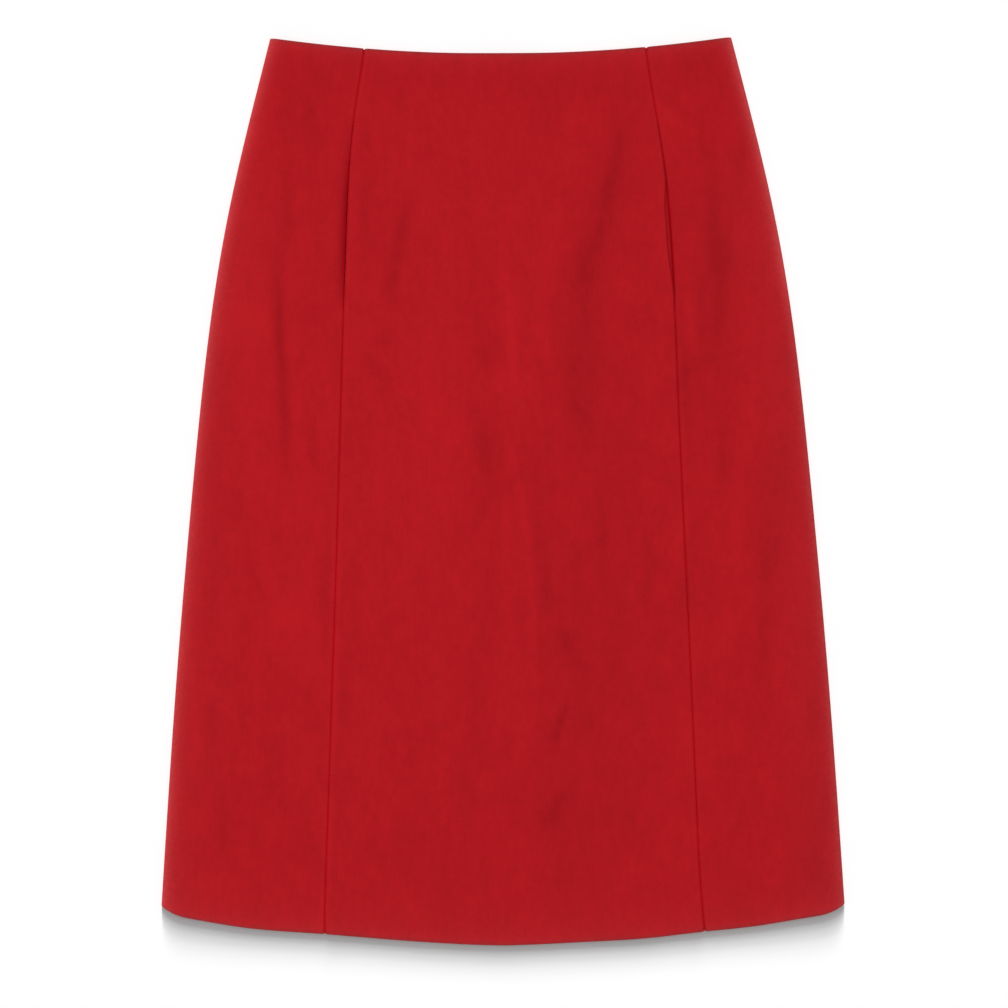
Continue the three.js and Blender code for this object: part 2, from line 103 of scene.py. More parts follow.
POCKET_FROM, POCKET_TO = 64.0, 212.0  # the pocket openings and the bags, both "down"
BAG_TOP, BAG_BOTTOM = 50.0, 300.0

# The front's soft creases, panel by panel: half the width of each, its height (below zero in a trough), its
#  painted shade (below zero, in the troughs) or painted highlight (on ridges and beside troughs), and the
#  points (x, y) of its line.
CREASES = [
    # left side panel
    (4.6, -0.75, -0.19, (-174, 184), (-173, 150), (-171, 108), (-168, 70), (-167, 48), (-166, 18)),
    (6.5, -0.3, -0.04, (-148, 310), (-149, 288), (-148, 266)),
    (5.0, -0.2, -0.03, (-165, 310), (-165, 288)),
    (4.5, -0.4, -0.09, (-165, 256), (-164, 234), (-168, 186)),
    (4.0, -0.35, -0.07, (-145, 56), (-145, 12)),
    (4.5, 0.25, 0.04, (-155, 44), (-155, 16)),
    (4.5, 0.25, 0.04, (-133, 74), (-133, 46)),
    (8.0, -0.5, -0.07, (-225, -56), (-228, -90), (-230, -122)),
    (4.5, -0.45, -0.08, (-225, -158), (-226, -178), (-227, -204)),
    (4.2, -0.45, -0.08, (-219, -226), (-217, -255), (-214, -286)),
    (4.2, -0.4, -0.07, (-199, -48), (-193, -65), (-186, -83)),
    (3.5, -0.2, -0.05, (-138, -46), (-138, -154)),
    (6.0, -0.3, -0.05, (-150, -310), (-148, -340)),
    (3.0, 0.1, 0.07, (-126, -98), (-130, -184)),
    (3.0, 0.05, 0.04, (-133, -200), (-137, -338)),
    # centre panel
    (5.0, -0.3, -0.06, (-108, 292), (-101, 260)),
    (4.5, -0.35, -0.08, (-105, 248), (-105, 198)),
    (6.0, -0.6, -0.13, (-72, 222), (-78, 195), (-84, 165), (-86, 146)),
    (4.0, -0.25, -0.05, (-115, 150), (-108, 134)),
    (6.0, 0.25, 0.02, (-110, 144), (-92, 116)),
    (6.0, -0.25, -0.05, (-90, 130), (-85, 108)),
    (6.0, -0.3, -0.06, (-90, -20), (-86, -50)),
    (3.6, -0.25, -0.05, (-126, 122), (-126, 72)),
    (7.0, -0.45, -0.08, (-14, 49), (-12, 30), (-10, 10)),
    (4.5, 0.6, 0.09, (0, 206), (3, 170), (7, 140), (9, 110), (11, 90), (14, 62)),
    (3.2, 0.5, 0.06, (3, 64), (8, 30), (14, 5), (20, -30), (22, -48), (25, -100), (25, -186)),
    (5.0, -0.35, -0.08, (28, -26), (34, -55), (36, -94)),
    (4.5, 0.35, 0.07, (32, 126), (38, 100)),
    (7.0, -0.9, -0.13, (94, 281), (88, 250), (80, 225), (75, 200), (70, 185), (63, 160), (60, 144)),
    (7.0, -0.3, -0.09, (97, 270), (88, 235), (84, 205), (76, 185), (71, 160), (70, 132), (77, 110)),
    (6.0, -0.3, -0.05, (68, 240), (66, 215), (64, 190), (59, 154)),
    (10.0, -0.5, -0.07, (59, 148), (58, 110), (58, 90), (62, 60), (71, 36)),
    (5.0, -0.35, -0.05, (55, -36), (60, -69)),
    (5.5, -0.35, -0.05, (49, -104), (51, -126)),
    (5.5, -0.3, -0.04, (60, -120), (60, -142)),
    (3.6, -0.35, -0.08, (78, 4), (78, -66)),
    (5.0, -0.35, -0.06, (92, -86), (92, -108)),
    (6.5, -0.45, -0.07, (118, -15), (115, -50), (110, -95)),
    (4.2, -0.65, -0.13, (51, -160), (45, -180), (40, -200)),
    (6.5, -0.6, -0.11, (54, -227), (43, -245), (30, -265)),
    (8.0, 0.0, 0.024, (88, 264), (77, 205), (62, 158)),
    (6.0, 0.0, 0.020, (118, 292), (126, 230), (131, 165)),
    # right side panel
    (6.5, -0.85, -0.13, (165, 256), (166, 200), (170, 160), (170, 130), (164, 101)),
    (5.5, -0.45, -0.07, (172, 66), (172, -4)),
    (4.0, -0.35, -0.06, (154, 284), (160, 258)),
    (3.6, -0.3, -0.05, (126, 310), (138, 298), (152, 287)),
    (3.6, 0.3, 0.03, (122, 302), (136, 289), (152, 276)),
    (5.0, -0.35, -0.09, (159, 180), (156, 145), (159, 108)),
    (5.5, -0.35, -0.07, (178, 224), (178, 158)),
    (5.5, 0.4, 0.05, (148, 165), (147, 104)),
    (9.0, 0.5, 0.04, (190, 146), (192, 60), (188, 0), (185, -60), (175, -110), (165, -206)),
    (6.0, -0.55, -0.08, (205, -24), (205, -90), (203, -120), (204, -146)),
    (5.0, -0.3, -0.05, (220, 50), (222, -4)),
    (5.0, -0.4, -0.08, (240, -156), (243, -184)),
    (4.5, -0.35, -0.07, (147, 99), (136, 76)),
    (5.0, -0.35, -0.06, (145, -55), (147, -95)),
    (4.5, 0.25, 0.05, (138, -15), (136, -65)),
    (4.5, -0.1, -0.07, (137, 152), (141, 90), (145, 24)),
    (4.5, 0.2, 0.04, (141, -165), (141, -205)),
]

# Broad places painted a little darker or lighter: x, y, half width, half height and how much.
PATCHES = [
    (-215, -330, 45, 14, -0.015),
    (225, -322, 40, 16, -0.018),
    (-168, 135, 9, 28, 0.018),
    (-96, 112, 10, 12, 0.018),
    (-112, 38, 22, 10, 0.014),
    (222, 180, 7, 22, -0.02),
    (-158, 280, 20, 44, -0.055),
    (-195, 110, 14, 105, 0.06),
    (-228, 60, 12, 90, -0.05),
    (-165, -95, 13, 15, 0.08),
    (-207, -40, 9, 11, 0.05),
    (-12, 105, 8, 9, -0.10),
    (-22, 65, 6, 6, -0.05),
    (-15, 25, 17, 40, -0.05),
    (-3, 85, 6, 8, 0.07),
    (65, -160, 50, 155, -0.06),
    (-55, 20, 34, 110, 0.05),
    (-10, 222, 10, 24, 0.07),
    (-160, 0, 14, 20, 0.06),
    (-147, -45, 12, 24, 0.05),
    (-152, -125, 16, 34, 0.05),
    (-102, -80, 10, 22, 0.06),
    (-130, 78, 6, 9, 0.05),
    (-98, 66, 9, 16, 0.05),
    (-60, -280, 70, 60, -0.03),
    (-140, -170, 24, 16, -0.05),
    (-205, -240, 22, 40, -0.03),
    (28, 200, 14, 50, 0.04),
    (98, 156, 13, 13, 0.08),
    (146, 190, 9, 14, 0.07),
    (138, 160, 5, 15, -0.06),
    (186, 262, 7, 40, -0.06),
    (134, 326, 22, 22, -0.05),
    (180, -30, 14, 24, 0.05),
    (215, -15, 12, 60, -0.05),
    (245, -140, 10, 26, -0.05),
    (140, -190, 26, 22, 0.05),
    (238, -310, 28, 22, -0.05),
    (200, -310, 14, 14, -0.04),
    (186, -250, 13, 18, 0.04),
    (12, -160, 14, 60, 0.04),
    (30, -20, 16, 30, -0.04),
    (152, 98, 6, 8, -0.05),
    (218, 110, 7, 14, -0.05),
    (-90, 122, 16, 18, -0.05),
    (-182, 138, 5, 24, 0.05),
    (-160, 72, 12, 50, 0.04),
    (-42, 112, 14, 22, 0.035),
    (75, 100, 16, 50, -0.045),
    (-106, -12, 8, 14, 0.05),
    (242, -265, 20, 38, -0.06),
    (-215, -285, 14, 16, -0.04),
    (-134, -55, 4, 34, -0.05),
    (-203, 40, 8, 24, -0.035),
    (202, 20, 8, 18, -0.04),
    (163, -205, 10, 24, 0.05),
    (0, 78, 6, 20, 0.05),
    (15, 143, 8, 18, 0.05),
    (50, 165, 8, 22, -0.035),
    (45, -88, 14, 12, -0.05),
]

# Creases of the back, which lifts off the surface along them, with painted shade along the ridges and painted
# # highlight on the flat lines beside them.
BACK_CREASES = [
    (10.0, 0.5, -0.06, (-60, 150), (-72, 60), (-66, -60)),
    (7.0, 0.0, 0.04, (-48, 170), (-58, 70), (-52, -40)),
    (11.0, 0.55, -0.07, (86, 210), (70, 120), (76, 0), (90, -90)),
    (7.0, 0.0, 0.04, (74, 215), (58, 125), (62, 10)),
    (9.0, 0.45, -0.06, (-150, 190), (-158, 90), (-170, -20)),
    (6.0, 0.0, 0.04, (-140, 180), (-147, 90), (-157, 0)),
    (12.0, 0.5, -0.06, (168, 120), (176, 10), (172, -130)),
    (13.0, 0.5, -0.05, (-40, -120), (-58, -220), (-52, -300)),
    (8.0, 0.4, -0.06, (40, -180), (52, -260)),
    (6.0, 0.3, -0.05, (120, 300), (112, 250), (126, 200)),
    (5.0, 0.0, 0.04, (110, 300), (103, 245), (116, 195)),
    (7.0, 0.3, -0.05, (-104, 310), (-92, 262), (-98, 215)),
    (9.0, 0.35, -0.04, (-196, -60), (-206, -150), (-204, -240)),
    (6.0, 0.0, 0.03, (-186, -70), (-195, -150), (-194, -220)),
    (6.0, 0.3, -0.05, (130, -60), (122, -140), (134, -230)),
    (5.0, 0.25, -0.05, (24, 120), (30, 70), (26, 10)),
    (6.0, 0.3, -0.05, (-116, -30), (-124, -110), (-118, -180)),
    (7.0, 0.0, 0.04, (-106, -20), (-113, -100), (-108, -170)),
    (5.0, 0.25, -0.04, (206, 0), (212, -70), (216, -160)),
]

# ---- Small helpers ----


def smooth(start, end, value):
    share = np.clip((value - start) / (end - start), 0.0, 1.0)
    return share * share * (3.0 - 2.0 * share)


def fade(start, end, value):
    """1 up to the start, and 0 from the end on."""
    return 1.0 - smooth(start, end, value)


def bell(distance, reach):
    """1 at no distance, and soft and low beyond the reach."""
    return np.exp(-((distance / reach) ** 2))


def node_arrays(name):
    """Vertices, in millimetres, and edges of a CAD node."""
    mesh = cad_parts[name].data
    points = np.empty(3 * len(mesh.vertices))
    mesh.vertices.foreach_get("co", points)
    edges = np.empty(2 * len(mesh.edges), dtype=int)
    mesh.edges.foreach_get("vertices", edges)
    return points.reshape(-1, 3) / MM, edges.reshape(-1, 2)


def edge_curve(name, pick):
    """The least or greatest x of a CAD node, as a smooth function of "down"."""
    points, edges = node_arrays(name)
    first, second = points[edges[:, 0]], points[edges[:, 1]]
    stations = np.arange(16.0, 672.0, 9.0)
    found = []
    for down in stations:
        y = TOP - down
        crossing = (first[:, 1] - y) * (second[:, 1] - y) < 0
        a, b = first[crossing], second[crossing]
        found.append(pick(a[:, 0] + (b[:, 0] - a[:, 0]) * (y - a[:, 1]) / (b[:, 1] - a[:, 1])))
    return np.polynomial.Chebyshev.fit(stations, found, 9, domain=[0.0, 706.0])


side_half = edge_curve("front_side_right", np.max)
seam_left = edge_curve("front_centre", np.min)
seam_right = edge_curve("front_centre", np.max)


def waist_y(across):
    return TOP - WAIST_DIP * (1.0 - across * across)


def hem_y(across):
    side = np.minimum(np.abs(across), 1.0)
    corner = np.maximum(0.0, (side - HEM_CORNER_FROM) / (1.0 - HEM_CORNER_FROM))
    sag = sum(deep * bell(across - at, width) for at, width, deep in HEM_SAGS)
    return LOW[1] + HEM_RISE * side ** HEM_RISE_POWER + HEM_CORNER_RISE * corner ** 2 - sag


def inward_of(x, y):
    """Distance in from the side edge."""
    return side_half(TOP - y) - np.abs(x)


def to_ends(along):
    """Distances from the waist edge and from the hem edge."""
    return along * LENGTH, (1.0 - along) * LENGTH


def distance_to(line, x, y):
    """Distance to a bent line, and how far along it the nearest point is, from 0 to 1."""
    line = np.asarray(line, dtype=float)
    lengths = np.hypot(*np.diff(line, axis=0).T)
    total = lengths.sum()
    best = np.full(np.shape(x), 1e9)
    share = np.zeros(np.shape(x))
    done = 0.0
    for start, end, length in zip(line[:-1], line[1:], lengths):
        step = (end - start) / length
        run = (x - start[0]) * step[0] + (y - start[1]) * step[1]
        held = np.clip(run, 0.0, length)
        gap = np.hypot(x - start[0] - held * step[0], y - start[1] - held * step[1])
        closer = gap < best
        best = np.where(closer, gap, best)
        share = np.where(closer, (done + held) / total, share)
        done += length
    return best, share


def crease_sum(creases, kind, x, y):
    """What all the creases add to the height or to the painted shade and highlight: soft across, and fading
    towards both ends.
    """
    total = np.zeros(np.shape(x))
    for width, height, shade_and_tone, *line in creases:
        gap, share = distance_to(line, x, y)
        ends = 0.35 + 0.65 * smooth(0.0, 0.25, share) * fade(0.75, 1.0, share)
        total += (height if kind == "height" else shade_and_tone) * ends * bell(gap, width)
    return total


def patch_sum(x, y):
    total = np.zeros(np.shape(x))
    for across, up, half_width, half_height, shade_and_tone in PATCHES:
        total += shade_and_tone * bell(x - across, half_width) * bell(y - up, half_height)
    return total


def fold_section(slopes, count):
    """The side fold's section as distances in from the edge and drops below its top."""
    lengths, angles = np.array(slopes).T
    fine = np.linspace(0.0, lengths[-1], 400)
    angle = np.radians(np.interp(fine, lengths, angles))
    step = fine[1] - fine[0]
    inward = np.concatenate([[0.0], np.cumsum(np.cos(angle[:-1]) * step)])
    rise = np.concatenate([[0.0], np.cumsum(np.sin(angle[:-1]) * step)])
    picks = lengths[-1] * np.linspace(0.0, 1.0, count) ** 1.6
    return np.interp(picks, fine, inward), rise[-1] - np.interp(picks, fine, rise)


FOLD_IN, FOLD_DROP = fold_section(FOLD_SLOPES, 24)
FOLD_LEVEL = SIDE_SEAM_LEVEL + FOLD_DROP[0]

# ---- Zip measures ----

WAIST_CENTRE = TOP - WAIST_DIP
PULL_BOX = [[value / MM for value in corner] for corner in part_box("zip_pull")]
SLIDER_BOX = [[value / MM for value in corner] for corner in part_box("zip_slider")]
TENT_HEIGHT = PULL_BOX[1][2] + 0.15


def tent(x, y):
    """How far the back panels bridge the pull, and at the waist edge the little that is left of it."""
    below = WAIST_CENTRE - y
    sideways = fade(4.2, 15.0, np.abs(x))
    downwards = fade(43.0, 58.0, below)
    upwards = 0.45 + 0.55 * smooth(0.0, 9.0, below)
    return TENT_HEIGHT * sideways * downwards * upwards


# ---- The front's outer face ----


def pocket_open(down):
    """1 along a pocket's opening, with short ends."""
    return smooth(POCKET_FROM - 4.0, POCKET_FROM + 5.0, down) * fade(POCKET_TO - 6.0, POCKET_TO + 3.0, down)


def pocket_slack(down):
    """How far the opening's edges part in height: most in the lower half of the opening."""
    return smooth(POCKET_FROM, POCKET_FROM + 66.0, down) * fade(POCKET_TO - 40.0, POCKET_TO + 3.0, down)


def pocket_gape(down, side):
    """How far the opening's front edge stands back from the side panel. The right-hand one gapes more."""
    if side < 0:
        return 0.2 * pocket_open(down) + 0.62 * smooth(80.0, 130.0, down) * fade(165.0, 208.0, down)
    return 0.1 * pocket_open(down) + 2.7 * smooth(108.0, 136.0, down) * fade(160.0, 204.0, down)


def still_closed(down):
    """1 in the upper part of the right-hand opening, where its edges still touch."""
    return fade(112.0, 150.0, down)


def seam_dip(x, down, near):
    """How much lower a side panel lies along its seam. In the opening it dips under the front edge. On the
    right it has a groove there, and its strip under that edge is lower still at the opening's ends."""
    opened, slack, gape = pocket_open(down), pocket_slack(down), pocket_gape(down, 1)
    apart = np.maximum(near, 0.0)
    deep = 0.5 * opened + np.where(x < 0, 1.3, 0.75) * slack
    dip = deep * bell(apart, 5.0) + 0.3 * opened * bell(apart, 1.9)
    dip *= 1.0 - 0.4 * (x > 0) * still_closed(down) * smooth(-0.2, 0.4, near)
    exposed = smooth(-0.5, 0.3, near + gape)
    groove = 0.6 * bell(near, 0.6) - 0.8 * slack * smooth(0.4, 1.3, -near) * exposed
    under = 0.55 * smooth(0.0, 0.2, opened) * fade(0.15, 0.6, gape) * smooth(-0.1, 0.2, -near)
    return dip + (groove * np.minimum(gape, 1.0) + under) * (x > 0) + 0.1 * bell(apart, 2.0)


def front_height(x, y, along, near, centre):
    """near is the distance from the panel's seam, on its own side of it."""
    down = TOP - y
    below, above = to_ends(along)
    apart = np.maximum(near, 0.0)
    hem = 0.35 * fade(30.0, 74.0, above) + 0.16 * fade(28.5, 33.0, above)
    waist = 0.35 * fade(6.0, 46.0, below) - 0.3 * fade(0.0, 7.5, below) ** 1.5
    over_zip = 2.1 * fade(3.0, 52.0, np.abs(x)) * fade(42.0, 112.0, below)
    bag = smooth(BAG_TOP - 40.0, BAG_TOP + 30.0, down) * fade(BAG_BOTTOM - 60.0, BAG_BOTTOM + 60.0, down)
    if centre:
        lift = BAG_LIFT * bag * smooth(0.0, 60.0, 150.0 - apart)
        seam = 0.3 * (1.0 - np.exp(-apart / 1.5)) * bell(apart, 14.0)
        lip = (0.15 * pocket_open(down) + 0.25 * pocket_slack(down)) * bell(apart, 16.0)
        lift, lowered = lift + seam + lip, 0.0
    else:
        lift = BAG_LIFT * bag * fade(0.0, 80.0, apart)
        lowered = seam_dip(x, down, near)
    soft = crease_sum(CREASES, "height", x, y)
    middle = FRONT_LEVEL + hem + waist + over_zip + lift - lowered + soft
    edge = FOLD_LEVEL + 0.3 * soft - lowered
    return middle + (edge - middle) * fade(FOLD_IN[-1], FOLD_REACH, inward_of(x, y))


def painted_sheen_and_shade(x, y, along, near, pocket):
    """Painted sheen: paler colour on the side folds, and less on the hem and waist, with a faint painted
    highlight beside each seam. Below zero it is painted shade: the deeper red inside a seam or under a
    pocket's edge."""
    down = TOP - y
    inward = np.maximum(inward_of(x, y), 0.0)
    below, above = to_ends(along)
    high = fade(170.0, 230.0, down)
    reach = np.where(x < 0, 3.8, 2.7 + 0.6 * high)
    strength = np.where(x < 0, 0.95 + 0.2 * fade(240.0, 330.0, down), 1.2 + 0.6 * high)
    # Painted sheen down the side folds, with a broader and weaker band further in.
    side = strength * np.exp(-inward / reach)
    broad_sheen = np.where(x < 0, 0.060, 0.085) * smooth(60.0, 170.0, down) * bell(inward, 34.0)
    # Painted sheen near the waist and hem edges, strongest on their turned rims.
    ends = 0.16 * np.exp(-below / 7.0) + 0.14 * np.exp(-above / 16.0)
    turned = 0.26 * np.exp(-np.minimum(below, above) / 1.8)
    # A faint painted highlight beside each seam, and painted shade inside seams and under pocket edges.
    rim_highlight = 0.035 * bell(near - 2.4, 1.0)
    inside = bell(near, 0.8) + pocket * bell(near, np.where(x < 0, 2.6, 1.0))
    return side + broad_sheen + ends + turned + rim_highlight - inside


def front_shade_and_tone(x, y, along, near, centre):
    """How much the front is painted lighter or darker: painted shade and highlight of creases, edges, seams
    and pockets, painted sheen and shade on the side folds, and the painted patches.
    """
    down = TOP - y
    below, above = to_ends(along)
    slack = pocket_slack(down)
    apart = np.maximum(near, 0.0)
    # Painted shade along the turned waist and hem edges, and a little darker near the waist.
    turned = -0.29 * bell(np.minimum(below, above), 1.6) - 0.035 * fade(15.0, 55.0, below)
    # Painted shade along the seams, turning a little lighter than the cloth lower down.
    seam = (0.04 * smooth(300.0, 450.0, down) - 0.02) * bell(near, 1.2)
    # Painted shade at the pocket openings, under the front edge and beside it on the side panels, with a
    # painted highlight where the right opening is still closed.
    if centre:
        lip = -0.02 * slack * bell(apart, 1.2)
    else:
        left = 0.10 * slack * bell(near, 1.0) - 0.20 * slack * bell(apart, 4.0)
        pocket_side_shade = -0.13 * slack * bell(apart, 5.5) * smooth(-0.8, 0.2, near)
        right = pocket_side_shade + (0.16 * still_closed(down) - 0.10 * slack) * bell(near, 0.9)
        lip = np.where(x < 0, left, right)
    # Painted sheen and shade on the side folds: lighter high on the right, darker lower down on both sides.
    lower = smooth(180.0, 250.0, down)
    fold = np.where(x < 0, -0.10 * lower, 0.20 - 0.31 * lower)
    fold = fold * np.exp(-np.maximum(inward_of(x, y), 0.0) / 2.8)
    laid = crease_sum(CREASES, "shade_and_tone", x, y) + patch_sum(x, y)
    return SHADE_AND_TONE_DEPTH * laid + turned + seam + lip + fold


def back_height(x, y):
    return tent(x, y) + np.maximum(0.0, crease_sum(BACK_CREASES, "height", x, y) - 0.08)


def back_shade_and_tone(x, y):
    """The back's painted crease shade and highlight, over the front's painted patches turned end for end and
    weaker.
    """
    return SHADE_AND_TONE_DEPTH * (crease_sum(BACK_CREASES, "shade_and_tone", x, y) + 0.7 * patch_sum(x, -y))


# ---- Shells of cloth ----


def layer_thickness(x, y, along):
    """One layer, or two in the turned edges, pressed thinner at the side seams."""
    below, above = to_ends(along)
    waist = fade(WAIST_TURN, WAIST_TURN + TURN_STEP, below)
    hem = fade(HEM_DEPTH, HEM_DEPTH + TURN_STEP, above)
    pressed = 1.0 - 0.6 * bell(inward_of(x, y), 2.5)
    return CLOTH + TURN * np.maximum(waist, hem) * pressed


def roll_drop(distance, radius):
    """How far a panel's edge has rolled down into its seam, at each distance from the edge."""
    left_over = np.clip(1.0 - distance / radius, 0.0, 1.0)
    return radius * (1.0 - np.sqrt(1.0 - left_over ** 2))


EDGE_STEPS = np.array([0.0, 0.03, 0.1, 0.2, 0.34, 0.52, 0.75, 1.0, 1.4, 2.0, 3.0, 4.4, 6.2, 8.5])
MIDDLE_STEP = 3.2


def rows_along():
    """Row places: close together in the turned edges, where the hem's step shows, and even between."""
    waist = [0.0, 0.5, 1.2, 2.2, 3.5, 5.0, 6.6, 7.0, 7.4, 7.8, 8.2, 9.4, 10.6, 12.0]
    hem = [0.0, 0.5, 1.2, 2.2, 3.6, 6.0, 10.0, 15.0, 20.0, 25.0, 28.0]
    hem_step = [29.4, 30.0, 30.6, 31.2, 32.4, 34.0]
    middle = np.arange(15.0, LENGTH - 36.0, MIDDLE_STEP)
    return np.concatenate([waist, middle, (LENGTH - np.array(hem + hem_step))[::-1]]) / LENGTH


def place(along, columns, inset_top, inset_hem):
    """x and y of a grid. columns(down) gives x, and the insets draw its ends in from waist and hem."""
    down = WAIST_DIP + along * LENGTH
    for _ in range(9):
        x = columns(down)
        across = x / side_half(down)
        y = (1.0 - along) * (waist_y(across) - inset_top) + along * (hem_y(across) + inset_hem)
        down = TOP - y
    return x, y


def placed(name, data):
    """A new object in the scene that shows a mesh, a curve, a light or a camera."""
    piece = bpy.data.objects.new(name, data)
    bpy.context.scene.collection.objects.link(piece)
    return piece


def grid_normals(points, facing):
    """Unit normals of a grid of points, turned to the side that facing gives."""
    by_row = np.gradient(points, axis=0)
    by_column = np.gradient(points, axis=1)
    normals = np.cross(by_row, by_column)
    normals /= np.linalg.norm(normals, axis=2, keepdims=True)
    return normals * facing


def shell(name, outer, thickness, facing, material, shade_and_tone=None, painted_sheen_and_shade=None):
    """A closed shell under a grid of outer points, with rounded turned edges at its first and last rows."""
    normals = grid_normals(outer, facing)
    inner = outer - normals * thickness[..., None]
    caps = []
    for end, inside in ((-1, -2), (0, 1)):
        middle = (outer[end] + inner[end]) / 2
        arm = outer[end] - middle
        reach = np.linalg.norm(arm, axis=1, keepdims=True)
        ahead = outer[end] - outer[inside]
        ahead -= normals[end] * np.sum(ahead * normals[end], axis=1, keepdims=True)
        ahead /= np.linalg.norm(ahead, axis=1, keepdims=True)
        turns = np.radians([30, 60, 90, 120, 150])
        if end == 0:
            turns = turns[::-1]
        caps.append(np.stack([middle + arm * math.cos(t) + ahead * reach * math.sin(t) for t in turns]))
    loop = np.concatenate([outer, caps[0], inner[::-1], caps[1]])
    rounds, columns = loop.shape[:2]
    vertices = loop.reshape(-1, 3) * MM
    at = np.arange(rounds * columns).reshape(rounds, columns)
    below = np.roll(at, -1, axis=0)
    quads = np.stack([at[:, :-1], below[:, :-1], below[:, 1:], at[:, 1:]], axis=2).reshape(-1, 4)
    faces = quads.tolist()
    rows = outer.shape[0]
    cap = len(caps[0])
    opposite = [2 * rows + cap - 1 - row for row in range(rows)]
    for column in (0, columns - 1):
        for row in range(rows - 1):
            faces.append([int(at[i, column]) for i in (row, row + 1, opposite[row + 1], opposite[row])])
        faces.append([int(at[i, column]) for i in range(rows - 1, rows + cap + 1)])
        faces.append([int(at[i % rounds, column]) for i in range(rounds - cap - 1, rounds + 1)])
    mesh = bpy.data.meshes.new(name)
    mesh.from_pydata(vertices.tolist(), [], faces)
    work = bmesh.new()
    work.from_mesh(mesh)
    bmesh.ops.recalc_face_normals(work, faces=work.faces)
    work.to_mesh(mesh)
    work.free()
    # Painted shade, tone and sheen go on the outer face and the rounded edges; the inner face gets none.
    for attribute, field in (("shade_and_tone", shade_and_tone), ("painted_sheen_and_shade", painted_sheen_and_shade)):
        if field is None:
            continue
        field = np.broadcast_to(field, (rows, columns))
        ends = [np.repeat(field[end:end + 1], cap, 0) for end in (rows - 1, 0)]
        values = np.concatenate([field, ends[0], field[::-1] * 0.0, ends[1]])
        layer = mesh.attributes.new(attribute, "FLOAT", "POINT")
        layer.data.foreach_set("value", values.reshape(-1))
    mesh.shade_smooth()
    mesh.set_sharp_from_angle(angle=math.radians(60))
    mesh.materials.append(material)
    return placed(name, mesh)


# ---- Materials ----


class Nodes:
    """A material's node tree, with short calls for the nodes used here."""

    def __init__(self, name):
        self.material = bpy.data.materials.new(name)
        self.material.use_nodes = True
        self.tree = self.material.node_tree
        self.shader = self.tree.nodes["Principled BSDF"]

    def add(self, kind, **settings):
        node = self.tree.nodes.new(kind)
        for key, value in settings.items():
            setattr(node, key, value)
        return node

    def link(self, source, target):
        self.tree.links.new(source, target)

    def surface(self, values):
        """Set the shader's sockets that are the same all over."""
        for socket, value in values.items():
            self.shader.inputs[socket].default_value = value

    def position(self, scale=(1.0, 1.0, 1.0)):
        """Place in the frame, in metres, times a scale for each axis."""
        coordinates = self.add("ShaderNodeTexCoord")
        mapping = self.add("ShaderNodeMapping")
        mapping.inputs["Scale"].default_value = scale
        self.link(coordinates.outputs["Object"], mapping.inputs["Vector"])
        return mapping.outputs["Vector"]

    def noise(self, scale, detail=2.0, roughness=0.5, axes=(1.0, 1.0, 1.0)):
        node = self.add("ShaderNodeTexNoise")
        node.inputs["Scale"].default_value = scale
        node.inputs["Detail"].default_value = detail
        node.inputs["Roughness"].default_value = roughness
        self.link(self.position(axes), node.inputs["Vector"])
        return node.outputs["Fac"]

    def math(self, operation, first, second=None, third=None):
        node = self.add("ShaderNodeMath", operation=operation)
        for socket, value in zip(node.inputs, (first, second, third)):
            if value is None:
                continue
            if isinstance(value, (int, float)):
                socket.default_value = value
            else:
                self.link(value, socket)
        return node.outputs[0]

    def swing(self, field, amount):
        """A noise field, centred on zero, times an amount."""
        return self.math("MULTIPLY", self.math("SUBTRACT", field, 0.5), amount)

    def ribs(self, pitch, axis):
        """Even ribs across one axis, from 0 to 1."""
        wave = self.add("ShaderNodeTexWave", wave_type="BANDS", bands_direction=axis)
        wave.inputs["Scale"].default_value = math.pi / 10 / (pitch * MM)
        wave.inputs["Distortion"].default_value = 0.6
        wave.inputs["Detail"].default_value = 1.0
        wave.inputs["Detail Scale"].default_value = 3.0
        self.link(self.position(), wave.inputs["Vector"])
        return wave.outputs["Fac"]

    def bump(self, height, distance):
        node = self.add("ShaderNodeBump")
        node.inputs["Strength"].default_value = 1.0
        node.inputs["Distance"].default_value = distance
        self.link(height, node.inputs["Height"])
        self.link(node.outputs["Normal"], self.shader.inputs["Normal"])

    def mix(self, first, second, share):
        """The first colour going over to the second as share goes from 0 to 1."""
        node = self.add("ShaderNodeMix", data_type="RGBA")
        self.link(first, node.inputs["A"])
        if isinstance(second, tuple):
            node.inputs["B"].default_value = second
        else:
            self.link(second, node.inputs["B"])
        self.link(share, node.inputs["Factor"])
        return node.outputs["Result"]

    def tint(self, colour, brightness):
        """A colour made lighter or darker by a field that is about 1."""
        node = self.add("ShaderNodeVectorMath", operation="SCALE")
        node.inputs[0].default_value = colour
        self.link(brightness, node.inputs["Scale"])
        return node.outputs[0]


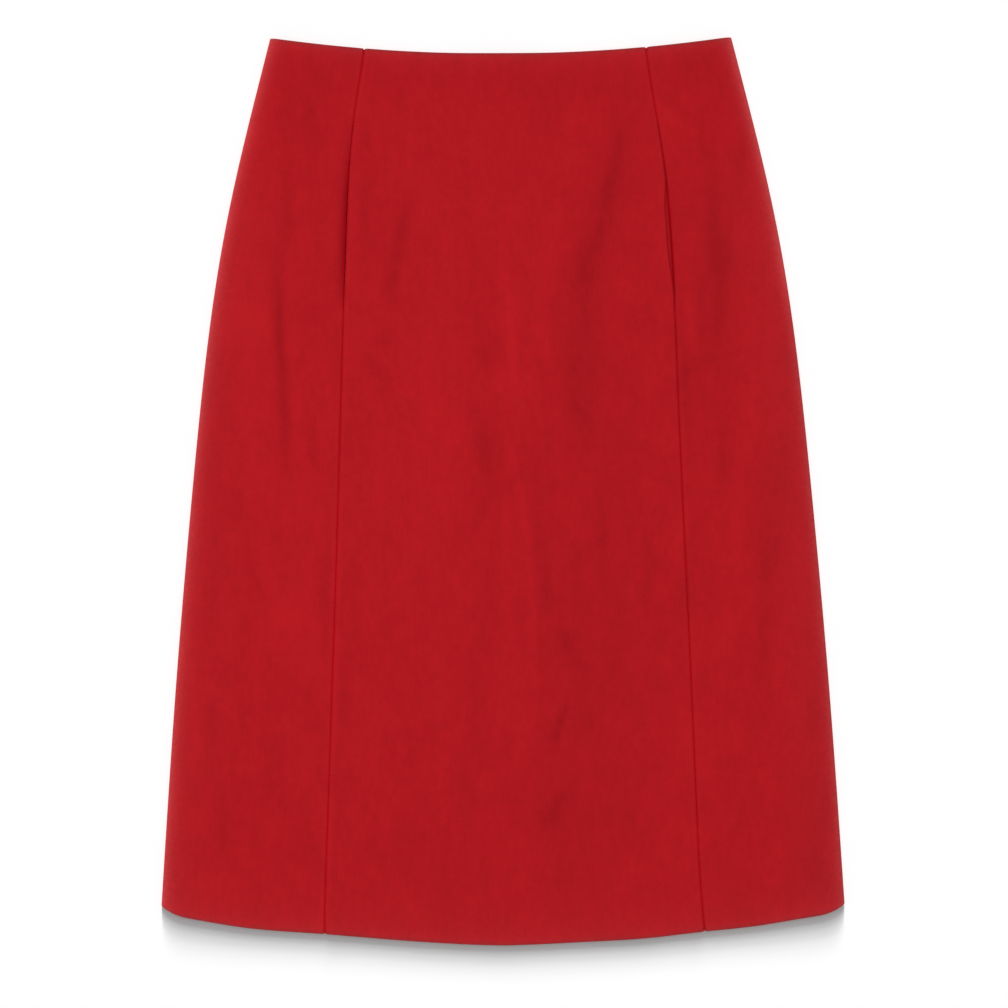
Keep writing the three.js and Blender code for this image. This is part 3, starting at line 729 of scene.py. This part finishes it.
def napped_cloth():
    """Closely woven cloth, brushed to a soft, slightly cloudy pile, with painted shade, tone and sheen from
    the mesh.
    """
    nodes = Nodes("napped_cloth")
    # Painted shade, highlight and tone from the mesh, added to the cloth's own random tone from the noises
    # below.
    attribute = nodes.add("ShaderNodeAttribute", attribute_name="shade_and_tone")
    cloudy = nodes.swing(nodes.noise(26.0, 2.0, axes=(1.0, 0.5, 1.0)), 0.16)
    patchy = nodes.swing(nodes.noise(75.0, 2.0, axes=(1.0, 0.5, 1.0)), 0.17)
    mottled = nodes.swing(nodes.noise(190.0, 3.0, 0.6, axes=(1.0, 0.65, 1.0)), 0.215)
    brushed = nodes.swing(nodes.noise(60.0, 2.0, axes=(9.0, 1.0, 1.0)), 0.09)
    across = nodes.swing(nodes.noise(60.0, 2.0, axes=(1.0, 9.0, 1.0)), 0.05)
    fibres = nodes.swing(nodes.noise(1500.0, 2.0, 0.6), 0.19)
    total = nodes.math("ADD", cloudy, mottled)
    for part in (patchy, brushed, across, fibres, attribute.outputs["Fac"]):
        total = nodes.math("ADD", total, part)
    plain = nodes.tint((0.389, 0.0078, 0.0122), nodes.math("ADD", total, 1.0))
    # Painted shade: a deeper, more saturated red where the sheen-and-shade attribute is below zero.
    deep = nodes.tint((0.385, 0.0006, 0.0050), nodes.math("ADD", total, 1.0))
    edges = nodes.add("ShaderNodeAttribute", attribute_name="painted_sheen_and_shade")
    colour = nodes.mix(plain, deep, nodes.math("MULTIPLY", edges.outputs["Fac"], -1.0))
    # Painted sheen: paler pink where that attribute is above zero, broken up by fine noise.
    patchy_sheen = nodes.math("MULTIPLY_ADD", nodes.noise(420.0, 2.0, 0.6), 0.5, 0.15)
    painted_sheen = nodes.math("MULTIPLY", edges.outputs["Fac"], patchy_sheen)
    sheen_and_shade = nodes.mix(colour, (0.66, 0.10, 0.105, 1.0), painted_sheen)
    lint = nodes.add("ShaderNodeTexVoronoi", feature="F1")
    lint.inputs["Scale"].default_value = 21.0
    nodes.link(nodes.position(), lint.inputs["Vector"])
    spot = nodes.math("LESS_THAN", lint.outputs["Distance"], 0.009)
    split = nodes.add("ShaderNodeSeparateColor")
    nodes.link(lint.outputs["Color"], split.inputs["Color"])
    chosen = nodes.math("MULTIPLY", spot, nodes.math("GREATER_THAN", split.outputs["Red"], 0.8))
    linted = nodes.mix(sheen_and_shade, (0.62, 0.16, 0.16, 1.0), nodes.math("MULTIPLY", chosen, 0.7))
    nodes.link(linted, nodes.shader.inputs["Base Color"])
    weave = nodes.math("MULTIPLY", nodes.ribs(0.55, "X"), nodes.ribs(0.5, "Y"))
    height = nodes.math("ADD", nodes.math("MULTIPLY", weave, 0.35), nodes.noise(900.0, 3.0, 0.7))
    nodes.bump(height, 0.00012)
    nodes.surface({"Roughness": 0.92, "Specular IOR Level": 0.03})
    nodes.surface({"Sheen Weight": 0.3, "Sheen Roughness": 0.4, "Sheen Tint": (1.0, 0.35, 0.33, 1.0)})
    return nodes.material


def plain_woven(name, colour, pitch):
    """A thin plain-woven cloth."""
    nodes = Nodes(name)
    weave = nodes.math("MULTIPLY", nodes.ribs(pitch, "X"), nodes.ribs(pitch, "Y"))
    shade = nodes.math("ADD", nodes.swing(weave, 0.25), nodes.swing(nodes.noise(120.0, 3.0), 0.16))
    nodes.link(nodes.tint(colour, nodes.math("ADD", shade, 1.0)), nodes.shader.inputs["Base Color"])
    nodes.bump(weave, 0.00008)
    nodes.surface({"Roughness": 0.85, "Specular IOR Level": 0.1})
    nodes.surface({"Sheen Weight": 0.15, "Sheen Tint": (1.0, 0.4, 0.38, 1.0)})
    return nodes.material


def enamelled_metal():
    """Zip metal with a thin coat of matching enamel, rubbed a little."""
    nodes = Nodes("zip_enamel")
    worn = nodes.noise(700.0, 4.0, 0.7)
    shade = nodes.math("ADD", nodes.swing(worn, 0.5), 1.0)
    nodes.link(nodes.tint((0.31, 0.008, 0.013), shade), nodes.shader.inputs["Base Color"])
    nodes.link(nodes.math("MULTIPLY_ADD", worn, 0.25, 0.22), nodes.shader.inputs["Roughness"])
    nodes.bump(worn, 0.00002)
    nodes.surface({"Specular IOR Level": 0.25, "Coat Weight": 0.12, "Coat Roughness": 0.25})
    return nodes.material


# ---- Panels ----

CENTRE_WIDTH, SIDE_WIDTH, BACK_WIDTH = 270.0, 100.0, 220.0  # roughly, to space out the columns
TUCK_STEPS = np.linspace(-1.0, 0.0, 12)[:-1]
SIDE_SEAM_GAP = 0.12  # between the back's turned-up side and the front's fold
FAR_FROM_SEAM = 50.0
BACK_ROLL = 0.5


def middle_shares(width):
    count = max(2, int(width / MIDDLE_STEP))
    return np.linspace(0.0, 1.0, count + 1)[1:-1]


def seam_corner(distance):
    """The hem and waist edges draw in a little where a panel's corner turns into a seam."""
    return 0.8 * np.exp(-distance / 0.9)


def panel(name, x, y, z, along, facing, material, shade_and_tone, sheen_and_shade):
    """The finished panel and its outer face."""
    outer = np.stack([x, y, z], axis=2)
    return shell(name, outer, layer_thickness(x, y, along), float(facing), material, shade_and_tone, sheen_and_shade), outer


def front_centre(material):
    along = rows_along()[:, None]
    steps = EDGE_STEPS
    shares = middle_shares(CENTRE_WIDTH)
    share = np.concatenate([np.zeros(len(steps)), shares, np.ones(len(steps))])
    offset = np.concatenate([steps, steps[-1] * (1 - 2 * shares), -steps[::-1]])
    far = steps[-1] + (CENTRE_WIDTH / 2 - steps[-1]) * (1.0 - np.abs(2.0 * shares - 1.0))
    edge = np.concatenate([steps, far, steps[::-1]])

    def columns(down):
        left = seam_left(down) - SEAM_HALF + SEAM_GAP + pocket_gape(down, -1)
        right = seam_right(down) + SEAM_HALF - SEAM_GAP - pocket_gape(down, 1)
        return left + (right - left) * share + offset

    inset = EDGE_ROUND + seam_corner(edge)
    x, y = place(along, columns, inset, inset)
    along = np.broadcast_to(along, x.shape)
    roll = SEAM_ROLL + (POCKET_ROLL - SEAM_ROLL) * pocket_open(TOP - y)
    z = front_height(x, y, along, edge, True) - roll_drop(edge, roll)
    shade_and_tone, sheen_and_shade = front_shade_and_tone(x, y, along, edge, True), painted_sheen_and_shade(x, y, along, edge, 0.0)
    return panel("skirt_front_centre", x, y, z, along, 1, material, shade_and_tone, sheen_and_shade)


def seam_to_fold(width, fold_in):
    """Columns from a panel's seam to its side fold: each one's share of the way, and its offset."""
    shares = middle_shares(width)
    share = np.concatenate([np.zeros(len(EDGE_STEPS)), shares, np.ones(len(fold_in))])
    between = EDGE_STEPS[-1] * (1 - shares) - fold_in[0] * shares
    return share, np.concatenate([EDGE_STEPS, between, -fold_in])


def front_side(word, side, material):
    """A side panel. Along the pocket its seam edge runs on, tucked under the centre panel's edge."""
    along = rows_along()[:, None]
    share, offset = seam_to_fold(SIDE_WIDTH, FOLD_IN[::-1])
    tuck = np.concatenate([TUCK_STEPS, np.zeros(len(share))])
    share, offset = (np.concatenate([np.zeros(len(TUCK_STEPS)), row]) for row in (share, offset))
    drop = np.concatenate([np.zeros(len(share) - len(FOLD_DROP)), FOLD_DROP[::-1]])
    seam = seam_left if side < 0 else seam_right

    def tucked(down):
        return TUCK_LEAST + (pocket_open(down) * POCKET_TUCK + pocket_gape(down, side)) * (side > 0)

    def columns(down):
        start = side * seam(down) + SEAM_HALF + SEAM_GAP + TUCK_LEAST
        return side * (start + (side_half(down) - start) * share + offset + tucked(down) * tuck)

    def near_of(x, y):
        return side * (x - seam(TOP - y)) - SEAM_HALF

    near = near_of(*place(along, columns, EDGE_ROUND, EDGE_ROUND))
    inset = EDGE_ROUND + seam_corner(np.maximum(near, 0.0))
    x, y = place(along, columns, inset, inset)
    near = near_of(x, y)
    along = np.broadcast_to(along, x.shape)
    to_edge = near + tucked(TOP - y) - TUCK_LEAST - SEAM_GAP
    z = front_height(x, y, along, near, False) - roll_drop(to_edge, SEAM_ROLL) - drop
    shade_and_tone = front_shade_and_tone(x, y, along, near, False)
    sheen_and_shade = painted_sheen_and_shade(x, y, along, near, 0.7 * pocket_slack(TOP - y))
    return panel(f"skirt_front_side_{word}", x, y, z, along, side, material, shade_and_tone, sheen_and_shade)


def back_panel(word, side, material):
    """Half of the back, with a slit for the slider's bridge, turned up at the side to meet the front."""
    along = rows_along()[:, None]
    turns = np.radians(np.linspace(0.0, 90.0, 10))
    radius = SIDE_SEAM_LEVEL - SIDE_SEAM_GAP
    share, offset = seam_to_fold(BACK_WIDTH, radius * (1.0 - np.sin(turns)))
    edge = np.concatenate([EDGE_STEPS, np.full(len(share) - len(EDGE_STEPS), FAR_FROM_SEAM)])
    rise = np.concatenate([np.zeros(len(share) - len(turns)), radius * (1.0 - np.cos(turns))])

    def columns(down):
        below = down - WAIST_DIP
        start = SEAM_GAP + 0.75 * smooth(9.2, 10.6, below) * fade(20.6, 22.4, below)
        return side * (start + (side_half(down) - start) * share + offset)

    inset = EDGE_ROUND + BACK_INSET + seam_corner(edge)
    x, y = place(along, columns, inset, inset)
    along = np.broadcast_to(along, x.shape)
    flat = 1.0 - smooth(radius + 22.0, radius + 2.0, inward_of(x, y))
    z = back_height(x, y) * flat + roll_drop(edge, BACK_ROLL) + rise
    shade_and_tone, sheen_and_shade = back_shade_and_tone(x, y), painted_sheen_and_shade(x, y, along, edge, 0.0)
    return panel(f"skirt_back_{word}", x, y, z, along, -side, material, shade_and_tone, sheen_and_shade)


# ---- Pocket bags ----

# How far a bag reaches in from its seam: share of the way down it, and reach.
BAG_REACH = [(0.0, 60.0), (0.12, 83.0), (0.35, 97.0), (0.6, 101.0), (0.8, 92.0), (0.93, 74.0), (1.0, 42.0)]
BAG_CLOTH = 0.55
LAYER_GAP = 0.12  # between the back and what lies on it


def pocket_bag(word, side, layer, material):
    """One layer of a pocket bag: flat in a curved outline, with a few soft waves and a stitched edge."""
    share = np.linspace(0.0, 1.0, 110)[:, None]
    down = BAG_TOP + (BAG_BOTTOM - BAG_TOP) * share
    table = np.array(BAG_REACH)
    spline = np.polynomial.Polynomial.fit(table[:, 0], table[:, 1], 5)
    reach = spline(share) - 0.6 * layer
    columns = np.linspace(0.0, 1.0, 60)[None, :]
    seam = seam_left(down) if side < 0 else seam_right(down)
    edge = (seam + SEAM_HALF * side) - side * 0.7
    x = edge - side * reach * columns
    y = np.broadcast_to(TOP - down, x.shape)
    stitched = bell(reach * (1 - columns) - 5.0, 1.2)
    wave = 0.05 * np.sin(x / 17.0 + y / 41.0) * np.cos(y / 29.0 - x / 67.0)
    base = CLOTH + LAYER_GAP + BAG_CLOTH + layer * (BAG_CLOTH + LAYER_GAP / 2)
    z = back_height(x, y) + base + wave * smooth(0.0, 0.3, columns) - 0.05 * stitched
    outer = np.stack([x, y, z], axis=2)
    name = f"pocket_bag_{word}_{'over' if layer else 'under'}"
    return shell(name, outer, np.full(x.shape, BAG_CLOTH), float(-side), material), outer


# ---- Zip ----

ZIP_TOP = 10.6  # below the waist edge
ZIP_LENGTH = 192.0
TAPE_WIDTH = 12.0
TAPE = 0.45
TAPE_EDGE = 0.9  # from the middle to each tape's inner edge
COIL_PITCH = 1.15
COIL_WIRE = 0.16
SLIDER_PLATE = 0.9
SLIDER_FLOOR = TENT_HEIGHT + CLOTH + 0.1


def zip_tape(word, side, material):
    """A woven tape along the inner face of a back panel, thicker where the coil is sewn to it."""
    below = np.concatenate([np.arange(0.0, ZIP_LENGTH, 1.6), [ZIP_LENGTH]])[:, None] + ZIP_TOP
    across = np.concatenate([np.arange(0.0, 3.0, 0.3), np.linspace(3.0, TAPE_WIDTH, 22)])[None, :]
    notch = SLIDER_BOX[1][0] + 0.4
    end = WAIST_CENTRE - SLIDER_BOX[0][1]
    inner = TAPE_EDGE + (notch - TAPE_EDGE) * fade(end, end + 2.0, below)
    x = side * (inner + (TAPE_WIDTH - inner) * across / TAPE_WIDTH)
    y = np.broadcast_to(WAIST_CENTRE - below, x.shape)
    ribbed = 0.1 * bell(across, 1.6) + 0.04 * np.cos(across * 2.6)
    outer = np.stack([x, y, tent(x, y) + CLOTH + LAYER_GAP + TAPE + ribbed], axis=2)
    name = f"zip_tape_{word}_woven"
    return shell(name, outer, np.full(x.shape, TAPE), float(side), material), outer


def zip_coil(side, material):
    """One half of the zip's coil: loops on the tape's edge that reach across the middle."""
    end = WAIST_CENTRE - SLIDER_BOX[0][1] + 0.6
    turns = int((ZIP_TOP + ZIP_LENGTH - 6.0 - end) / COIL_PITCH)
    angle = np.linspace(0.0, 2 * math.pi * turns, turns * 12)
    below = end + COIL_PITCH * (angle / (2 * math.pi) + (0.0 if side < 0 else 0.5))
    x = side * (0.75 + 1.05 * np.cos(angle))
    y = WAIST_CENTRE - below
    z = tent(0.0, y) + CLOTH + 1.19 + 0.3 * np.sin(angle)
    name = f"zip_coil_{'left' if side < 0 else 'right'}"
    return swept(name, np.stack([x, y, z], axis=1), COIL_WIRE, material)


def swept(name, points, radius, material):
    """A round wire along a line of points."""
    curve = bpy.data.curves.new(name, "CURVE")
    curve.dimensions = "3D"
    curve.bevel_depth = radius * MM
    curve.bevel_resolution = 2
    curve.use_fill_caps = True
    line = curve.splines.new("POLY")
    line.points.add(len(points) - 1)
    for slot, point in zip(line.points, points):
        slot.co = (*(value * MM for value in point), 1.0)
    return as_mesh(name, curve, material)


def plate(name, outlines, thick, bevel, material, turned=None):
    """A flat piece with rounded edges, cut to closed outlines in X and Y. Inner outlines are windows."""
    curve = bpy.data.curves.new(name, "CURVE")
    curve.dimensions = "2D"
    curve.fill_mode = "BOTH"
    curve.extrude = (thick / 2 - bevel) * MM
    curve.bevel_depth = bevel * MM
    curve.bevel_resolution = 2
    curve.offset = -bevel * MM
    for outline in outlines:
        line = curve.splines.new("POLY")
        line.points.add(len(outline) - 1)
        for slot, (x, y) in zip(line.points, outline):
            slot.co = (x * MM, y * MM, 0.0, 1.0)
        line.use_cyclic_u = True
    return as_mesh(name, curve, material, turned)


def as_mesh(name, curve, material, turned=None):
    temporary = placed(name, curve)
    bpy.context.view_layer.update()
    mesh = bpy.data.meshes.new_from_object(temporary)
    bpy.data.objects.remove(temporary)
    mesh.name = name
    if turned is not None:
        mesh.transform(turned)
    mesh.materials.clear()
    mesh.materials.append(material)
    mesh.shade_smooth()
    mesh.set_sharp_from_angle(angle=math.radians(35))
    return placed(name, mesh)


def joined(name, pieces):
    """The pieces as one closed body, with the first piece's material."""
    first = pieces[0]
    for other in pieces[1:]:
        union = first.modifiers.new("union", "BOOLEAN")
        union.operation = "UNION"
        union.object = other
    bpy.context.view_layer.update()
    mesh = bpy.data.meshes.new_from_object(first.evaluated_get(bpy.context.evaluated_depsgraph_get()))
    mesh.name = name
    work = bmesh.new()
    work.from_mesh(mesh)
    bmesh.ops.dissolve_degenerate(work, dist=0.002 * MM, edges=work.edges)
    work.to_mesh(mesh)
    work.free()
    mesh.set_sharp_from_angle(angle=math.radians(35))
    for piece in pieces:
        bpy.data.objects.remove(piece)
    return placed(name, mesh)


def rounded(points, radius, steps=5):
    """A closed outline with each corner rounded."""
    points = [np.array(point, dtype=float) for point in points]
    out = []
    for index, corner in enumerate(points):
        before, after = points[index - 1], points[(index + 1) % len(points)]
        to_before, to_after = before - corner, after - corner
        reach = min(radius, np.linalg.norm(to_before) / 2, np.linalg.norm(to_after) / 2)
        start = corner + to_before / np.linalg.norm(to_before) * reach
        end = corner + to_after / np.linalg.norm(to_after) * reach
        for step in range(steps + 1):
            t = step / steps
            out.append((1 - t) ** 2 * start + 2 * t * (1 - t) * corner + t * t * end)
    return out


def zip_slider(material):
    """The slider's plate inside the skirt, with the bridge that reaches out through the back's slit."""
    low, high = SLIDER_BOX
    half, top, bottom = high[0], high[1], low[1]
    tail = 0.78 * half
    corners = [(-half, top - 0.6), (0, top + 0.3), (half, top - 0.6), (tail, bottom), (-tail, bottom)]
    raised = Matrix.Translation((0, 0, (SLIDER_FLOOR + SLIDER_PLATE / 2) * MM))
    body = plate("slider_plate", [rounded(corners, 1.6)], SLIDER_PLATE, 0.22, material, raised)

    def upright_box(inset, floor, ceiling, radius):
        start, end = top - inset, bottom + inset
        return rounded([(start, ceiling), (start, floor), (end, floor), (end, ceiling)], radius)

    base, roof = low[2], SLIDER_FLOOR + 0.75
    outlines = [upright_box(1.1, base, roof, 0.8), upright_box(1.8, base + 0.58, roof - 0.5, 0.5)]
    upright = Matrix(((0, 0, 1, 0), (1, 0, 0, 0), (0, 1, 0, 0), (0, 0, 0, 1)))
    bridge = plate("slider_bridge", outlines, 1.0, 0.12, material, upright)
    return joined("slider", [body, bridge])


def zip_pull(material):
    """The pull: a round eye bar inside the bridge, two arms, and a tab that widens to a round tip."""
    low, high = PULL_BOX
    wide, tip = high[0], low[1]
    middle = (low[2] + high[2]) / 2
    thick = high[2] - low[2]
    axis = high[1] - thick / 2
    arm, waist_at, wide_at, tip_reach = 2.45, tip + 14.0, tip + 5.0, 3.2
    angle = np.linspace(0.0, math.pi, 15)[1:-1]
    round_tip = [(wide * math.cos(t), tip + tip_reach - tip_reach * math.sin(t)) for t in angle]
    left = [(-wide, wide_at), (-arm, waist_at), (-arm, axis)]
    outline = [(arm, axis), (arm, waist_at), (wide, wide_at)] + round_tip + left
    half, start, end = 1.65, axis - 0.35, axis - 5.4
    window = rounded([(-half, start), (half, start), (half, end), (-half, end)], 1.0)
    raised = Matrix.Translation((0, 0, middle * MM))
    tab = plate("pull_tab", [outline, window], thick - 0.12, 0.16, material, raised)
    bar = swept("pull_eye", [(-2.5, axis, middle), (2.5, axis, middle)], 0.43, material)
    return joined("pull", [tab, bar])


# ---- Stage, lights and camera ----

AMBIENT = 0.29
PAPER = 0.86

# The floor's light comes low over the waist and throws the soft shadow below the hem: how high each
# part of it stands, how wide it is, both in degrees, and its share of the floor's light.
LOW_LIGHTS = [
    (80.0, 14.0, 0.10),
    (60.0, 24.0, 0.02),
    (31.0, 16.0, 0.17),
    (20.0, 9.0, 0.165),
    (13.5, 5.0, 0.16),
    (10.0, 3.0, 0.08),
    (8.0, 2.0, 0.045),
]
FLOOR_LEVEL = 1.0


def lamp(name, kind, strength, place_at, receivers):
    """A light that is aimed at the middle of the frame and lights only the receivers."""
    light = bpy.data.lights.new(name, kind)
    light.energy = strength
    holder = placed(name, light)
    holder.location = place_at
    holder.rotation_euler = (-Vector(place_at)).to_track_quat("-Z", "Y").to_euler()
    holder.light_linking.receiver_collection = receivers
    return light


def receivers_of(name, pieces):
    group = bpy.data.collections.new(name)
    for piece in pieces:
        group.objects.link(piece)
    return group


def floor_piece():
    reach = 6.0
    mesh = bpy.data.meshes.new("floor")
    corners = [(-reach, -reach, 0), (reach, -reach, 0), (reach, reach, 0), (-reach, reach, 0)]
    mesh.from_pydata(corners, [], [(0, 1, 2, 3)])
    floor = placed("floor", mesh)
    floor.location.z = -0.0002
    paper = Nodes("paper")
    paper.surface({"Base Color": (PAPER, PAPER, PAPER, 1.0), "Roughness": 1.0, "Specular IOR Level": 0.0})
    mesh.materials.append(paper.material)
    return floor


def light_scene(pieces, floor):
    world = bpy.data.worlds.new("studio")
    bpy.context.scene.world = world
    world.use_nodes = True
    nodes = world.node_tree.nodes
    background = nodes["Background"]
    background.inputs["Color"].default_value = (1.0, 1.0, 1.0, 1.0)
    background.inputs["Strength"].default_value = AMBIENT
    beyond = nodes.new("ShaderNodeBackground")
    beyond.inputs["Color"].default_value = (1.0, 1.0, 1.0, 1.0)
    seen = nodes.new("ShaderNodeLightPath")
    either = nodes.new("ShaderNodeMixShader")
    links = world.node_tree.links
    links.new(seen.outputs["Is Camera Ray"], either.inputs["Fac"])
    links.new(background.outputs["Background"], either.inputs[1])
    links.new(beyond.outputs["Background"], either.inputs[2])
    links.new(either.outputs["Shader"], nodes["World Output"].inputs["Surface"])

    only_floor = receivers_of("lit_floor", [floor])
    rest = FLOOR_LEVEL - AMBIENT * PAPER
    shares = sum(share for _, _, share in LOW_LIGHTS)
    for height, width, share in LOW_LIGHTS:
        angle = math.radians(height)
        strength = rest * share / shares * math.pi / PAPER / math.sin(angle)
        above = (0.0, math.cos(angle), math.sin(angle))
        sun = lamp(f"low_{height:.0f}", "SUN", strength, above, only_floor)
        sun.angle = math.radians(width)

    only_skirt = receivers_of("lit_skirt", pieces)
    top = lamp("top_soft", "AREA", 105.3, (-0.38, 0.0, 3.6), only_skirt)
    top.size = 3.0
    left = lamp("left_soft", "AREA", 36.0, (-2.9, 0.7, 1.9), only_skirt)
    left.size = 1.0


def camera():
    data = bpy.data.cameras.new("camera")
    data.lens = 100.0
    data.sensor_width = 36.0
    view_width = 0.7837
    holder = placed("camera", data)
    holder.location = (0.0016, -0.0097, view_width * data.lens / data.sensor_width)
    holder.rotation_euler = (0.0, 0.0, math.radians(-0.157))
    bpy.context.scene.camera = holder
    bpy.context.scene.view_settings.view_transform = "Standard"


# ---- Putting it together ----

cloth = napped_cloth()
lining = plain_woven("bag_cloth", (0.450, 0.0030, 0.0080), 0.30)
tape = plain_woven("tape_cloth", (0.220, 0.0080, 0.0120), 0.42)
enamel = enamelled_metal()

BACKS = ["back_left", "back_right"]
BENEATH_CENTRE = ["pocket_left_over", "pocket_right_over"] + BACKS
SHEETS = [("front_centre", "cloth", BENEATH_CENTRE, front_centre(cloth))]
for word, side in (("left", -1), ("right", 1)):
    back, under, over = f"back_{word}", f"pocket_{word}_under", f"pocket_{word}_over"
    SHEETS.append((f"front_side_{word}", "cloth", [back], front_side(word, side, cloth)))
    SHEETS.append((back, "cloth", ["floor"], back_panel(word, side, cloth)))
    SHEETS.append((under, "pocketing", [back], pocket_bag(word, side, 0, lining)))
    SHEETS.append((over, "pocketing", [under], pocket_bag(word, side, 1, lining)))
    SHEETS.append((f"zip_tape_{word}", "zip_tape", [back], zip_tape(word, side, tape)))
for node, slot, rests_on, (piece, outer) in SHEETS:
    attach(piece, "skirt")
    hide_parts(node)

METAL = [(zip_slider(enamel), "skirt", "zip_slider"), (zip_pull(enamel), "pull", "zip_pull")]
for piece, body, node in METAL:
    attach(piece, body)
    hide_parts(node)
COILS = [zip_coil(side, tape) for side in (-1, 1)]
for piece in COILS:
    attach(piece, "skirt")

light_scene([row[3][0] for row in SHEETS] + [row[0] for row in METAL] + COILS, floor_piece())
camera()
